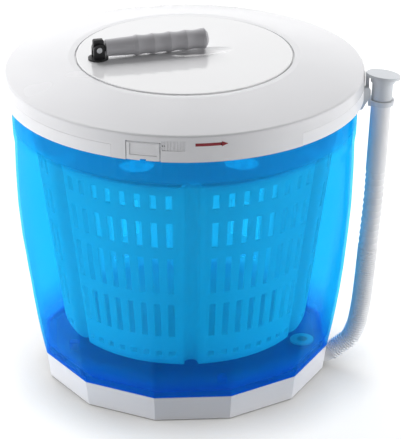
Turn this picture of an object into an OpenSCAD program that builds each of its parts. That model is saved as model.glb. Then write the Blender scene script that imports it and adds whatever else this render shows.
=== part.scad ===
// Hand cranked washing machine: a clear tub on a twelve sided base, a slotted basket that
// turns on a spindle, and a domed lid whose crank drives the basket through planetary gears.
// Z is up, the origin lies under the basket's axis on the ground and the front faces -Y.

/* [Base] */
// Corner radius of the twelve sided base at its top edge
base_r = 147.2; // [144:0.2:150]
// How much the corner radius shrinks from the top edge to the bottom edge
base_draft = 3.9; // [1:0.1:6]
// Height of the base shell
base_h = 26; // [24:0.5:32]
// Wall of the base shell
base_wall = 3; // [2:0.1:4]
// Thickness of the deck that carries the tub
deck_t = 3; // [2:0.1:4]
// Depth of the deck below the top edge
deck_drop = 2.5; // [1.5:0.1:4]
// Radius of a rubber foot
foot_r = 10; // [8:0.5:12]
// Thickness of a rubber foot
foot_t = 3; // [2.5:0.1:4]
// How far a foot stands out below the base
foot_out = 1.5; // [1:0.1:2]
// How far the feet stand in from the base's corners
foot_inset = 33.2; // [32:0.2:42]
// How far the base screws stand in from the base's corners
base_screw_inset = 29.2; // [28.6:0.1:42]

/* [Tub] */
// Height of the tub from its underside to its edge
tub_h = 278; // [270:1:290]
// Wall of the tub
tub_wall = 2.4; // [1.8:0.1:2.8]
// Thickness of the tub floor
tub_floor = 3; // [2:0.1:4]
// How far the tub's edge stands in from the lid's face
tub_inset = 6; // [5.4:0.1:7]
// How much narrower the body is than the tub's edge
body_inset = 2.8; // [2:0.1:4.6]
// Height of the collar above the body
collar_h = 55; // [45:1:60]
// Depth of the thicker band inside the collar
band_h = 38; // [30:1:42]
// Wall of the thicker band
band_wall = 5; // [4:0.1:5.4]

/* [Rim ring] */
// Thickness of the ring's top flange
ring_top_t = 4.2; // [3:0.1:6]
// How far the ring's outer wall reaches down over the tub's edge
ring_drop = 8.5; // [6:0.1:10]
// How far the ring stands in from the lid's face
ring_inset = 0.4; // [0.1:0.05:1]
// Wall of the ring's inner lip
ring_lip_t = 3.2; // [2:0.1:3.4]

/* [Lid] */
// Outer radius of the lid
lid_r = 178; // [176:0.5:180]
// Height of the lid's upright wall
skirt_h = 13.2; // [12.6:0.1:20]
// Rise of the dome from its crease to the crank opening
dome_rise = 13.7; // [11:0.1:18]
// Wall of the lid
lid_wall = 2.6; // [2:0.1:2.8]
// Rounding of the crease
crease_r = 2.5; // [1:0.1:3]
// Radius of the opening that holds the crank disc
lid_hole_r = 108.2; // [104:0.1:112]
// How far the lid's screws stand in from the gear plate's edge
lid_screw_inset = 11.5; // [9:0.5:20]

/* [Crank] */
// Width of the ring gap round the crank disc
disc_gap = 1.5; // [1:0.1:3]
// Thickness of the crank disc
disc_t = 5; // [4.6:0.1:6]
// Direction of the folded grip, from the axis towards +X
grip_angle = 12.3; // [0:0.1:30]
// Distance of the fold pin from the disc's axis
pivot_r = 85.6; // [84.5:0.1:90]
// Height of the fold pin above the disc
pivot_h = 10.7; // [10:0.1:14]
// Length of the grip with its end cap
grip_len = 105; // [90:1:112]
// Radius of the grip at its waist
grip_r = 9.2; // [8:0.1:9.6]
// Radius of the rod inside the grip
rod_r = 3.5; // [3:0.1:4]
// Radius of the fold pin
fold_pin_r = 2; // [1.5:0.1:2.4]

/* [Gears] */
// Module of the gear teeth
tooth_module = 2.5; // [2.4:0.1:2.6]
// Teeth of the sun wheel
sun_teeth = 18; // [18:6:18]
// Teeth of a planet wheel
planet_teeth = 18; // [18:6:18]
// Width of the wheels
gear_w = 12; // [8:0.5:12]
// Play between two flanks
backlash = 0.2; // [0.1:0.01:0.3]

/* [Basket] */
// Outer radius of the basket at its mouth
basket_mouth_r = 150.5; // [146:0.5:153]
// Outer radius of the basket near its floor
basket_foot_r = 122; // [116:0.5:126]
// Height of the basket
basket_h = 206; // [200:1:214]
// Wall of the basket
basket_wall = 2.2; // [1.6:0.1:2.4]
// Rounding of the basket's lower edge
basket_round = 12; // [8:0.5:16]
// Number of flutes
flutes = 6; // [5:1:7]
// Depth of a flute
flute_depth = 18; // [14:0.5:22]
// Radius at the bottom of a flute
flute_r = 6.5; // [5:0.1:8]
// Rounding of a flute's lips
flute_lip_r = 8; // [6:0.1:10]
// Width of a slot
slot_w = 6.4; // [4:0.1:8]
// Angle from one slot column to the next
slot_pitch = 6.05; // [5:0.05:6.1]
// Slot columns between two flutes
slot_columns = 8; // [3:1:8]

/* [Latches] */
// Turn of the latches from the front and the rear
latch_turn = 15.6; // [12:0.1:20]
// Half the width of a latch, as an angle
latch_half = 5.15; // [4:0.05:6]
// Height of a latch from its lower edge to its pin
latch_h = 15.6; // [13.6:0.1:16]
// Radius of a latch pin
latch_pin_r = 1.25; // [1:0.05:1.5]

/* [Hose] */
// Outer radius of the hose over its ribs
hose_r = 10; // [9:0.1:11]
// Radius of the hose's bore
hose_bore_r = 8; // [7:0.1:8.4]
// Distance from one fine rib to the next
rib_pitch = 2.4; // [2.2:0.1:3]
// Distance from one coarse rib to the next
coarse_pitch = 7.3; // [6:0.1:9]
// Length of the smooth neck above the hose
neck_len = 77; // [70:0.5:78]
// Radius of the drain pipe
pipe_r = 8; // [7:0.1:8.5]
// Wall of the drain pipe and the neck
pipe_wall = 1.6; // [1:0.1:2.4]
// Radius of the cap's disc
cap_r = 16.8; // [14:0.2:18]

/* [Fits] */
// Gap of a turning shaft in its bore
run_fit = 0.05; // [0.02:0.01:0.1]
// Gap between shells that lie close together
shell_gap = 0.4; // [0.3:0.05:0.6]

/* [Hidden] */

fine = 720; // sides of the widest curves
round_fn = 96; // sides of middle sized curves
small_fn = 48; // sides of pins and bores
cut = 1; // how far a cutter reaches past a face

// Heights, from the ground up
shoulder_gap = 0.3;
disc_proud = 0.1;
z_base = foot_out;
z_plinth_top = z_base + base_h;
z_deck_top = z_plinth_top - deck_drop;
z_deck_under = z_deck_top - deck_t;
z_tub = z_deck_top;
z_floor = z_tub + tub_floor;
z_shoulder = z_plinth_top + shoulder_gap;
z_tub_edge = z_tub + tub_h;
z_ring_under = z_tub_edge - ring_drop;
z_ring_top = z_tub_edge + ring_top_t;
z_lid = z_ring_top + shell_gap;
z_crease = z_lid + skirt_h;
z_dome = z_crease + dome_rise;
z_disc = z_dome + disc_proud;
z_disc_under = z_disc - disc_t;

// Base and tub
facet = 30;
base_cos = cos(facet / 2);
tub_foot_gap = 0.4;
base_rib_h = 8;
base_rib_n = 6;
foot_place_r = base_r - foot_inset;
base_screw_place_r = base_r - base_screw_inset;
foot_n = 4;
foot_turn = 45;
foot_round = 1;
foot_boss_wall = 1;
foot_plug_r = 3.5;
foot_plug_h = 6;
base_screw_turn = 15;
hole_gap = 0.2;
thread_gap = 0.1;
blind_gap = 0.5;
boss_wall = 3;
screw_r = 2;
screw_head_r = 4;
screw_head_h = 3;
screw_bite = 8;
collar_gain = 1.6;
collar_chamfer = 10;
tub_steps = [0, 0.05, 0.12, 0.2, 0.3, 0.42, 0.55, 0.7, 0.85, 1];
tub_sides = 72;
tub_swell = 2.3;
facets_to = 0.1; // share of the body's height with full facets
fade = 0.65; // share of the height over which they fade
z_body_top = z_tub_edge - collar_h;
tub_edge_r = lid_r - tub_inset;
tub_body_r = tub_edge_r - body_inset;
ring_r = lid_r - ring_inset;
tub_foot_r = base_r - (base_wall + tub_foot_gap) / base_cos;
tub_inner_foot = 7.5;
tub_collar_r = tub_body_r + collar_gain;
z_band = z_tub_edge - band_h;
band_taper = 1.5;
lip_clear = 0.5;
lip_taper = 2;
z_lip_clear = z_ring_under - lip_clear;
stop_w = 5;
stop_h = 3.5;
stop_out = 3.2;
stop_gap = 0.1;
z_stop = z_ring_under - stop_gap - stop_h;

// Spindle
spindle_r = 6;
spindle_collar_r = 11;
spindle_collar_h = 3;
spindle_boss_r = 14;
spindle_boss_h = 12;
washer_r = 14;
washer_t = 1.6;
nut_r = 10;
nut_h = 8;
nut_hole_gap = 2;
spindle_out = 2;
z_spindle = z_tub - washer_t - nut_h - spindle_out;
spindle_chamfer = 1;
z_boss_top = z_floor + spindle_boss_h;
z_collar_top = z_boss_top + spindle_collar_h;

// Basket
basket_lift = 7;
z_basket = z_collar_top + basket_lift;
z_mouth = z_basket + basket_h;
basket_hub_r = 12;
basket_hub_h = 36;
hub_cap_t = 4;
hub_bore_h = basket_hub_h - hub_cap_t;
spindle_end_gap = 2;
spindle_top = z_basket + hub_bore_h - spindle_end_gap;
bush_top_gap = 4;
bush_len = hub_bore_h - bush_top_gap;
bush_r = 9;
bush_flange_r = 11;
bush_end_gap = 0.3;
seat_fit = 0.02;
rim_lip = 1.4;
rim_lip_h = 4;
// Ends of the slot rows, as shares of the basket's height
slot_rows = [[0.88, 0.956], [0.672, 0.806], [0.417, 0.612], [0.175, 0.357], [0.063, 0.09]];
slot_reach = 30;
flute_reach = 10;
flute_over = 30;
basket_lean = atan2(basket_mouth_r - basket_foot_r, basket_h);
flute_angle = 360 / flutes;

// Lid
dome_zc = (z_crease + z_dome) / 2
    - (lid_r * lid_r - lid_hole_r * lid_hole_r) / (2 * (z_dome - z_crease));
dome_r = norm([lid_r, z_crease - dome_zc]);
crease_z = dome_zc + sqrt(pow(dome_r - crease_r, 2) - pow(lid_r - crease_r, 2));
crease_k = dome_r / (dome_r - crease_r);
crease_touch = [(lid_r - crease_r) * crease_k, dome_zc + (crease_z - dome_zc) * crease_k];
lid_inner_r = lid_r - lid_wall;
apron_gap = 0.9;
z_apron = z_ring_under;
apron_ring_r = lid_inner_r - apron_gap;
apron_side_gap = 0.1; // as an angle
ring_lip_up = 2.5;
locate_gap = 1.5;
locate_t = 2.5;
locate_drop = 0.5;
ring_lip_r = tub_edge_r - tub_wall - shell_gap;
locate_r = ring_lip_r - ring_lip_t - locate_gap;

// Gear plate and wheels
plate_t = 3;
z_plate_top = z_tub_edge;
z_plate = z_plate_top - plate_t;
plate_gap = 0.5;
plate_r = locate_r - locate_t - plate_gap;
lid_screw_place_r = plate_r - lid_screw_inset;
lid_screws_n = 6;
lid_screw_turn = 30;
lid_boss_wall = 2.6;
lid_screw_head_h = 2.4;
ring_teeth = sun_teeth + 2 * planet_teeth;
planet_place_r = tooth_module * (sun_teeth + planet_teeth) / 2;
pressure_angle = 20;
flank_steps = 4;
tooth_out = tooth_module;
tooth_in = 1.25 * tooth_module;
ring_tooth_in = 0.85 * tooth_module;
ring_wall = 5.4;
ring_gear_r = tooth_module * ring_teeth / 2 + tooth_in + ring_wall;
ring_flange_out = 6;
ring_flange_r = ring_gear_r + ring_flange_out;
ring_flange_t = 3;
ring_over = 1;
gear_screws_n = 4;
gear_screw_turn = 45;
gear_screw_place_r = ring_gear_r + ring_flange_out / 2;
gear_screw_r = 1.3;
gear_head_r = 2.6;
small_head_h = 2;
small_bite = 3.2;
pilot_gap = 0.05;
gear_drop = 2.6;
z_gear_top = z_disc_under - gear_drop;
z_gear = z_gear_top - gear_w;
planet_pin_r = 4;
planet_boss_r = 8;
pin_head_r = 6;
pin_head_h = 1.7;
pin_head_gap = 0.3;
planets_from = 90;
sun_shaft_r = 10;
sun_shoulder_r = 13;
sun_shoulder_h = 2.2;
plate_boss_r = 16;
plate_boss_under = 4;
z_plate_boss = z_plate - plate_boss_under;
z_shoulder_under = z_gear - sun_shoulder_h;
shaft_out = 6;
z_shaft_step = z_plate_boss - shaft_out;
sun_hex_r = 7.5;
hex_gap = 0.1;
stub_r = 5;
stub_len = 10;
stub_collar_r = 8;

// Crank disc
disc_r = lid_hole_r - disc_gap;
disc_edge_t = 4;
disc_flange_out = 4.8;
disc_flange_r = lid_hole_r + disc_flange_out;
disc_flange_t = 2.8;
disc_land = 9;
disc_round = 1.2;
z_flange_top = z_disc - disc_edge_t;
z_flange = z_flange_top - disc_flange_t;
track_t = 3;
track_inset = 4;
recess_len = 64;
recess_w = 22;
recess_depth = 2.4;
recess_at = 17.6;
recess_over = 4;

// Handle, in its own frame with the fold pin at the origin and the grip along +X
pivot_ahead = 174.4;
pivot_turn = grip_angle + pivot_ahead;
pivot = [pivot_r * cos(pivot_turn), pivot_r * sin(pivot_turn), z_disc + pivot_h];
fork_w = 11;
fork_slot = 5.2;
knuckle_gap = 0.2;
knuckle_r = fork_w / 2 - knuckle_gap;
knuckle_w = fork_slot - 2 * knuckle_gap;
knuckle_up = 9.7;
knuckle_round = 2;
tongue_half = 2.5;
tongue_bite = 1;
rod_gap = 0.3;
rod_from = fork_w / 2 + rod_gap;
bracket_flange_r = 10;
bracket_flange_t = 1.8;
bracket_screw_r = 1.2;
bracket_head_r = 2.2;
fold_head = 0.8;
grip_start = 7.1;
grip_near_r = 8.3;
grip_edge = 0.8;
grip_taper_len = 28;
scallops = 4;
scallop_pitch = 16.6;
scallop_depth = 1.1;
end_cap_len = 7;
end_cap_ball = 14;
end_cap_plug = 1.2;
rod_back = 4;
rod_end = grip_start + grip_len - end_cap_len - rod_back;
grip_screw_r = 5;
grip_screw_h = 2;
grip_shank_r = 1.5;
grip_shank_len = 10;
grip_end_gap = 0.3;
grip_well_gap = 0.8;

// Drive plate
drive_plate_t = 2.5;
z_drive = z_mouth - rim_lip_h;
drive_gap = 1.5;
drive_hub_r = 14;
drive_screw_r = 2.5;
drive_screw_len = 16;
drive_head_out = 3;
drive_hole_r = 17;
// Places of the holes, as shares of the basket's mouth
drive_hole_places = [0.385, 0.678];

// Latches
latch_barrel_r = 3;
latch_gap = 0.4;
latch_pin_place_r = lid_r - latch_barrel_r;
z_latch_pin = z_ring_top + latch_gap + latch_barrel_r;
latch_plate_t = 2.4;
latch_side_gap = 0.25; // as an angle
window_half = latch_half + latch_side_gap;
ear_w = 4;
ear_wall = 1.5;
ear_back = 1.05;
latch_pin_len = 2 * lid_r * sin(window_half) + 2 * ear_w - 1;
z_latch_foot = z_latch_pin - latch_h;
latch_side_rim = 0.9; // as an angle
latch_ledge = 5;
latch_sink = 0.7;
catch_half = 3;
catch_h = 2;
catch_depth = 1.2;
catch_out = 0.7;
notch_w = 6;
notch_h = 1.5;
front_latch_at = 270 - latch_turn;
rear_latch_at = 90 - latch_turn;
apron_before = 4.8;
apron_from = front_latch_at - window_half - apron_before;
apron_turn = 57 + apron_before;
apron_to = apron_from + apron_turn;
panel_off = 0.4;
panel_turn = 7;
panel_from = front_latch_at + window_half + panel_off;
panel_to = panel_from + panel_turn;
panel_ribs = 7;
panel_rib_w = 0.9;
panel_depth = 0.8;
panel_h = 9.7;
panel_up = 11.5;
z_panel = z_ring_under + panel_up;
z_panel_top = z_panel + panel_h;

// Hose, in the upright plane of its own that the drain lies in
hose_y = -26;
// Route: share of the way from the base's corner circle to the lid's, distance out, height
hose_route = [[0, 0.8, 15.5], [0.1, 13.5, 27.8], [0.2, 19.1, 43], [0.35, 18.8, 64],
    [0.5, 17.2, 92], [0.7, 14.2, 132], [1, 10, 196], [1, 11, 216]];
hose_points = [for (p = hose_route) [base_r + p[0] * (lid_r - base_r) + p[1], p[2]]];
fine_sections = 5;
hose_sides = 8;
rib_depth = 1.1;
coarse_depth = 1.3;
drain_inset = 29.2;
drain_x = base_r - drain_inset;
drain_bend_r = 12;
drain_sides = 24;
drain_flange_r = 12;
drain_flange_t = 2;
drain_rise = atan2(hose_points[1][1] - hose_points[0][1],
    hose_points[1][0] - hose_points[0][0]);
drain_tail = 3;
drain_steps = 6;
knee_steps = 3;
pipe_drop_gap = 1.5;
pipe_way_gap = 0.8;
barb_gap = 0.9;
barb_r = hose_bore_r - barb_gap;
barb_len = 12;
stop_r = hose_r - 0.6;
hose_end = hose_points[len(hose_points) - 1];
hose_before = hose_points[len(hose_points) - 2];
neck_lean = atan2(hose_end[0] - hose_before[0], hose_end[1] - hose_before[1]);
neck_bore_r = barb_r - pipe_wall;
spigot_r = 9;
spigot_len = 17;
spigot_end_gap = 0.5;
cap_sleeve_r = 10.3;
cap_band_out = 1.8;
cap_band_h = 6.4;
cap_tilt = 7.6;
cap_nod = 5;
cap_t = 3;
cap_len = 26;
clip_wall = 2.5;
clip_h = 5;
clip_arm_w = 5;
clip_arm_y = hose_y - 1;
z_clip_foot = z_ring_under - 7;
z_clip_step = z_clip_foot + 5.5;
z_clip_top = z_ring_top - 1.2;
clip_foot_t = 5;
clip_waist_t = 2.5;
clip_tip_t = 2;
bracket_x = ring_r + 1.4;
bracket_w = 7;
bracket_side = 0.4;
bracket_in = tub_edge_r - 6;
bracket_foot = tub_edge_r + 1;
z_bracket = z_ring_under - 10;
z_bracket_knee = z_ring_under + 0.5;
bracket_gap = 0.2;
clip_x = bracket_x + bracket_gap;
ring_seat = 0.05;
strap_x = bracket_x - 1.6;
strap_y = hose_y + 0.6;
strap_w = 3;
strap_d = 6;
strap_len = 25;
z_strap = z_ring_under + 0.1;

// Apothem of the base's outer faces at a height
function base_apothem(z) = base_cos * (base_r - base_draft * (z_plinth_top - z) / base_h);

// Outer radius of the lid's dome at a distance from the axis, less a wall
function dome_z(r, wall) = dome_zc + sqrt(pow(dome_r - wall, 2) - r * r);

// Outer radius of the basket at a height
function basket_r(z) = basket_foot_r + (z - z_basket) * tan(basket_lean);

// Twelve sided block whose faces lean from one apothem to another
module twelve_sided(a0, a1, z0, z1)
    intersection_for (i = [0 : 5])
        rotate([0, 0, facet * i])
            rotate([90, 0, 0])
                linear_extrude(height = 4 * base_r, center = true)
                    polygon([[-a0, z0], [a0, z0], [a1, z1], [-a1, z1]]);

// Part of a ring between two angles
module sector(r0, r1, from, to, z0, z1)
    rotate([0, 0, from])
        rotate_extrude(angle = to - from, $fn = fine)
            translate([r0, z0])
                square([r1 - r0, z1 - z0]);

// Screw with a round head below its shank
module screw(head_r, head_h, shank_r, shank_h) {
    translate([0, 0, -head_h])
        cylinder(r = head_r, h = head_h, $fn = small_fn);
    cylinder(r = shank_r, h = shank_h, $fn = small_fn);
}

// Copies round the axis
module around(count, radius, from = 0)
    for (i = [0 : count - 1])
        rotate([0, 0, from + i * 360 / count])
            translate([radius, 0, 0])
                children();

// Triangles between two rings of a skin, and from a ring to the middle of its cap
function between(n, i, j) = [for (k = [0 : n - 1])
    each [[i * n + k, j * n + k, j * n + (k + 1) % n],
        [i * n + k, j * n + (k + 1) % n, i * n + (k + 1) % n]]];

function fan(n, i, middle, step) = [for (k = [0 : n - 1])
    [middle, i * n + (k + step + n) % n, i * n + k]];

function middle_of(ring) = [for (axis = [0 : 2]) ([for (p = ring) 1] * [for (p = ring) p[axis]])
    / len(ring)];

// Skin over a row of rings, which closes on its first ring or ends in flat caps
module skin(rings, closed) {
    n = len(rings[0]);
    m = len(rings);
    polyhedron(
        points = concat([for (ring = rings) each ring],
            closed ? [] : [middle_of(rings[0]), middle_of(rings[m - 1])]),
        faces = concat([for (i = [0 : m - 2]) each between(n, i, i + 1)],
            closed ? between(n, m - 1, 0)
                : concat(fan(n, 0, m * n, -1), fan(n, m - 1, m * n + 1, 1))));
}

// Base
module base_plinth() color("gainsboro")
    difference() {
        union() {
            difference() {
                twelve_sided(base_apothem(z_base), base_apothem(z_plinth_top), z_base,
                    z_plinth_top);
                twelve_sided(base_apothem(z_base - cut) - base_wall,
                    base_apothem(z_deck_under) - base_wall, z_base - cut, z_deck_under);
                twelve_sided(base_apothem(z_deck_top) - base_wall,
                    base_apothem(z_plinth_top + cut) - base_wall, z_deck_top,
                    z_plinth_top + cut);
            }
            for (i = [0 : base_rib_n - 1])
                rotate([0, 0, facet * i])
                    translate([-base_rib_to, -base_wall / 2, z_deck_under - base_rib_h])
                        cube([2 * base_rib_to, base_wall, base_rib_h + deck_t / 2]);
            around(foot_n, foot_place_r, foot_turn)
                translate([0, 0, foot_t])
                    cylinder(r = foot_r + foot_boss_wall,
                        h = z_deck_under - foot_t + deck_t / 2, $fn = small_fn);
        }
        translate([0, 0, z_base - cut])
            cylinder(r = washer_r + nut_hole_gap, h = base_h, $fn = round_fn);
        around(foot_n, base_screw_place_r, base_screw_turn)
            translate([0, 0, z_deck_under - cut])
                cylinder(r = screw_r + hole_gap, h = deck_t + 2 * cut, $fn = small_fn);
        around(foot_n, foot_place_r, foot_turn)
            translate([0, 0, foot_t - cut])
                cylinder(r = foot_plug_r + thread_gap, h = foot_plug_h + cut + blind_gap,
                    $fn = small_fn);
        translate([drain_x, hose_y, z_base - cut])
            cylinder(r = pipe_r + pipe_drop_gap, h = base_h, $fn = small_fn);
        drain_slot(pipe_r + pipe_way_gap);
    }

// How far the ribs under the deck reach into the base's wall
base_rib_to = base_apothem(z_deck_under - base_rib_h) - base_wall / 2;

// Open way for the drain pipe through the base's wall
module drain_slot(r) {
    translate([drain_x, hose_y, drain_knee[1]])
        rotate([0, 90, 0])
            cylinder(r = r, h = base_r - drain_x, $fn = small_fn);
    translate([drain_x, hose_y - r, z_base - cut])
        cube([base_r - drain_x, 2 * r, drain_knee[1] - z_base + cut]);
}

module feet() color("dimgray")
    around(foot_n, foot_place_r, foot_turn)
        union() {
            rotate_extrude($fn = small_fn)
                polygon([[0, 0], [foot_r - foot_round, 0], [foot_r, foot_round],
                    [foot_r, foot_t], [0, foot_t]]);
            translate([0, 0, foot_t])
                cylinder(r = foot_plug_r, h = foot_plug_h, $fn = small_fn);
        }

module base_screws() color("silver")
    around(foot_n, base_screw_place_r, base_screw_turn)
        translate([0, 0, z_deck_under])
            screw(screw_head_r, screw_head_h, screw_r, deck_t + screw_bite);

// Tub
// Angle from the middle of the nearest facet, and the radius there of a twelve sided outline
// that blends into a round one
function off_facet(a) = let (q = a % facet) q > facet / 2 ? q - facet : q;

function tub_outline(r, blend, a) = r * ((1 - blend) * base_cos / cos(off_facet(a)) + blend);

function ease(t) = t <= 0 ? 0 : t >= 1 ? 1 : t * t * (3 - 2 * t);

function tub_radius(t) = base_r + (tub_body_r - base_r) * (1 - pow(1 - t, tub_swell));

function tub_ring(r, blend, z) = [for (k = [0 : tub_sides - 1])
    let (a = k * 360 / tub_sides, q = tub_outline(r, blend, a)) [q * cos(a), q * sin(a), z]];

function body_ring(t, inset) = tub_ring(tub_radius(t) - inset, ease((t - facets_to) / fade),
    z_shoulder + t * (z_body_top - z_shoulder));

// Outer radius of the collar at a height
function collar_r(z) = tub_collar_r
    + (tub_edge_r - tub_collar_r) * (z - z_body_top - collar_chamfer) / (collar_h - collar_chamfer);

module tub() color("deepskyblue", 0.6)
    difference() {
        union() {
            skin(concat(
                [tub_ring(tub_foot_r, 0, z_tub), tub_ring(tub_foot_r, 0, z_shoulder)],
                [for (t = tub_steps) body_ring(t, 0)],
                [tub_ring(tub_collar_r, 1, z_body_top + collar_chamfer),
                    tub_ring(tub_edge_r, 1, z_tub_edge),
                    tub_ring(tub_edge_r - tub_wall, 1, z_tub_edge),
                    tub_ring(tub_edge_r - tub_wall, 1, z_lip_clear),
                    tub_ring(collar_r(z_lip_clear) - band_wall, 1, z_lip_clear - lip_taper),
                    tub_ring(collar_r(z_band) - band_wall, 1, z_band + band_taper),
                    tub_ring(collar_r(z_band) - tub_wall, 1, z_band)],
                [for (i = [len(tub_steps) - 1 : -1 : 1]) body_ring(tub_steps[i], tub_wall)],
                [tub_ring(tub_foot_r - tub_inner_foot, 0, z_floor)]), false);
            translate([0, 0, z_floor - cut])
                cylinder(r = spindle_boss_r, h = spindle_boss_h + cut, $fn = small_fn);
            around(foot_n, base_screw_place_r, base_screw_turn)
                translate([0, 0, z_floor - cut])
                    cylinder(r = screw_r + boss_wall, h = screw_bite + cut, $fn = small_fn);
            for (at = [front_latch_at, rear_latch_at])
                rotate([0, 0, at])
                    translate([tub_edge_r - tub_wall / 2, -stop_w / 2, z_stop])
                        cube([stop_out + tub_wall / 2, stop_w, stop_h]);
        }
        translate([0, 0, z_tub - cut])
            cylinder(r = spindle_r + run_fit, h = z_boss_top - z_tub + 2 * cut, $fn = small_fn);
        around(foot_n, base_screw_place_r, base_screw_turn)
            translate([0, 0, z_tub - cut])
                cylinder(r = screw_r + thread_gap, h = screw_bite + cut + blind_gap,
                    $fn = small_fn);
        translate([drain_x, hose_y, z_tub - cut])
            cylinder(r = pipe_r + run_fit, h = tub_floor + 2 * cut, $fn = small_fn);
    }

// Ring on the tub's edge, with bays for the aprons, the latches and their catches
module rim_ring() color("gainsboro")
    difference() {
        rotate_extrude($fn = fine)
            difference() {
                translate([ring_lip_r - ring_lip_t, z_ring_under])
                    square([ring_r - ring_lip_r + ring_lip_t, z_ring_top - z_ring_under]);
                translate([ring_lip_r, z_ring_under - cut])
                    square([tub_edge_r + shell_gap - ring_lip_r, z_tub_edge - z_ring_under + cut]);
                translate([ring_lip_r - ring_lip_t - cut, z_ring_under - cut])
                    square([ring_lip_t + 2 * cut, ring_lip_up + cut]);
            }
        for (turn = [0, 180]) {
            sector(apron_ring_r, ring_r + cut, apron_from - apron_side_gap + turn,
                apron_to + apron_side_gap + turn, z_ring_under - cut, z_ring_top + cut);
            sector(apron_ring_r - catch_depth, ring_r, front_latch_at - catch_half - 1 + turn,
                front_latch_at + catch_half + 1 + turn, z_ring_under - cut,
                z_latch_foot + catch_h + 1);
        }
    }

// Spindle
module spindle() color("silver") {
    translate([0, 0, z_spindle])
        cylinder(r = spindle_r, h = spindle_top - z_spindle - spindle_chamfer, $fn = small_fn);
    translate([0, 0, spindle_top - spindle_chamfer])
        cylinder(r1 = spindle_r, r2 = spindle_r - spindle_chamfer, h = spindle_chamfer,
            $fn = small_fn);
    translate([0, 0, z_boss_top])
        cylinder(r = spindle_collar_r, h = spindle_collar_h, $fn = small_fn);
}

module spindle_washer() color("dimgray")
    translate([0, 0, z_tub - washer_t])
        difference() {
            cylinder(r = washer_r, h = washer_t, $fn = small_fn);
            translate([0, 0, -cut])
                cylinder(r = spindle_r + hole_gap, h = washer_t + 2 * cut, $fn = small_fn);
        }

module spindle_nut() color("silver")
    translate([0, 0, z_tub - washer_t - nut_h])
        difference() {
            cylinder(r = nut_r, h = nut_h, $fn = 6);
            translate([0, 0, -cut])
                cylinder(r = spindle_r + run_fit, h = nut_h + 2 * cut, $fn = small_fn);
        }

// Ring of a tube about a point of the hose's plane, square to a direction there
function tube_ring(p, d, r, sides) = [for (k = [0 : sides - 1])
    let (a = (k + 0.5) * 360 / sides)
        [p[0] + r * cos(a) * d[1], hose_y + r * sin(a), p[1] - r * cos(a) * d[0]]];

// Drain pipe from the tub's floor to the hose: a drop, a bend, a run, a knee and a tail
drain_end = hose_points[0];
drain_way = [cos(drain_rise), sin(drain_rise)];
drain_knee = drain_end - drain_tail * drain_way
    - drain_bend_r * [sin(drain_rise), 1 - cos(drain_rise)];
drain_bend_at = [drain_x + drain_bend_r, drain_knee[1] + drain_bend_r];
drain_knee_at = [drain_knee[0], drain_knee[1] + drain_bend_r];

function on_bend(at, a) = [at + drain_bend_r * [cos(a), sin(a)], [-sin(a), cos(a)]];

function drain_route(top) = concat(
    [[[drain_x, top], [0, -1]]],
    [for (i = [0 : drain_steps]) on_bend(drain_bend_at, 180 + 90 * i / drain_steps)],
    [for (i = [0 : knee_steps]) on_bend(drain_knee_at, 270 + drain_rise * i / knee_steps)]);

function drain_ring(place, r) = tube_ring(place[0], place[1], r, drain_sides);

module drain_elbow() color("whitesmoke") {
    stop = [drain_end - drain_tail * drain_way / 2, drain_way];
    tail = [drain_end, drain_way];
    barb = [drain_end + barb_len * drain_way, drain_way];
    inside = drain_route(z_floor + drain_flange_t);
    skin(concat(
        [for (place = [[drain_x, z_floor + drain_flange_t], [drain_x, z_floor]])
            drain_ring([place, [0, -1]], drain_flange_r)],
        [for (place = drain_route(z_floor)) drain_ring(place, pipe_r)],
        [drain_ring(stop, pipe_r), drain_ring(stop, stop_r), drain_ring(tail, stop_r)],
        [drain_ring(tail, barb_r), drain_ring(barb, barb_r), drain_ring(barb, neck_bore_r)],
        [for (i = [len(inside) - 1 : -1 : 0]) drain_ring(inside[i], neck_bore_r)]), true);
}

// Hose
hose_n = len(hose_points);

function way(i) = hose_points[min(i + 1, hose_n - 1)] - hose_points[max(i - 1, 0)];

// Direction of the route at one of its points, along its straight ends there
function heading(i) = let (d = i <= 1 ? hose_points[1] - hose_points[0]
    : i >= hose_n - 2 ? hose_end - hose_before : way(i)) d / norm(d);

function stretch(i) = norm(hose_points[i + 1] - hose_points[i]);

function route(i, t) = (1 + 2 * t) * pow(1 - t, 2) * hose_points[i]
    + t * pow(1 - t, 2) * stretch(i) * heading(i)
    + t * t * (3 - 2 * t) * hose_points[i + 1]
    - t * t * (1 - t) * stretch(i) * heading(i + 1);

function route_way(i, t) = let (d = route(i, min(t + 0.01, 1)) - route(i, max(t - 0.01, 0)))
    d / norm(d);

function hose_ring(i, t, r) = tube_ring(route(i, t), route_way(i, t), r, hose_sides);

function ribs_in(i) = round(stretch(i) / (i < fine_sections ? rib_pitch : coarse_pitch));

// One rib is a crest and a root, low and even on the fine part and like a saw on the coarse part
function rib_rings(i) = let (n = ribs_in(i), fine_part = i < fine_sections) [for (k = [0 : n - 1])
    each [hose_ring(i, (k + (fine_part ? 0.25 : 0.1)) / n, hose_r),
        hose_ring(i, (k + (fine_part ? 0.75 : 0.95)) / n,
            hose_r - (fine_part ? rib_depth : coarse_depth))]];

function bore_rings(i) = let (n = ceil(stretch(i) / 8)) [for (k = [n - 1 : -1 : 0])
    hose_ring(i, k / n, hose_bore_r)];

module hose() color("whitesmoke")
    skin(concat(
        [hose_ring(0, 0, hose_r)],
        [for (i = [0 : hose_n - 2]) each rib_rings(i)],
        [hose_ring(hose_n - 2, 1, hose_r), hose_ring(hose_n - 2, 1, hose_bore_r)],
        [for (i = [hose_n - 2 : -1 : 0]) each bore_rings(i)]), true);

// Places something on the neck's axis, at a height along it above the hose
module on_neck(s)
    translate([hose_end[0], hose_y, hose_end[1]])
        rotate([0, neck_lean, 0])
            translate([0, 0, s])
                children();

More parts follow.
